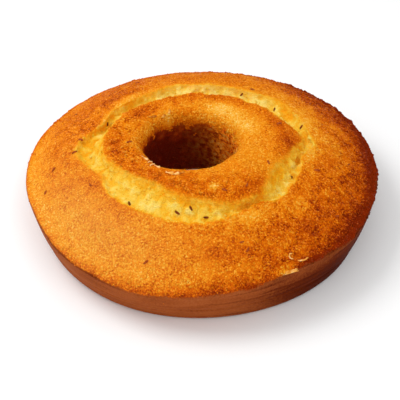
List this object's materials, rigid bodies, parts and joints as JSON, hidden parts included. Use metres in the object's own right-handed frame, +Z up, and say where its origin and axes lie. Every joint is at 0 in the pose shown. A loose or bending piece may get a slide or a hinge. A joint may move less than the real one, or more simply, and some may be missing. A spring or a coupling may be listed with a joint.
{
  "type": "cornmeal ring cake",
  "caption": "Round cornmeal cake with a hole through its middle, a domed golden crust split in a ring that shows yellow crumb, and scattered fennel seeds.",
  "frame": {"origin": "under the middle of the cake, in the plane it rests on", "axes": "+Z up through the hole, +X to the viewer's right and -Y towards the viewer of the picture"},
  "size_m": [0.2406, 0.238, 0.0636],
  "materials": {
    "golden_crust": "baked crust, grainy and matte",
    "fennel_seed": "dry ridged seed, matte",
    "pale_flake": "dry flake of crust and loose crumb, matte"
  },
  "bodies": {
    "root": {"cake": "golden_crust"}
  },
  "joints": []
}
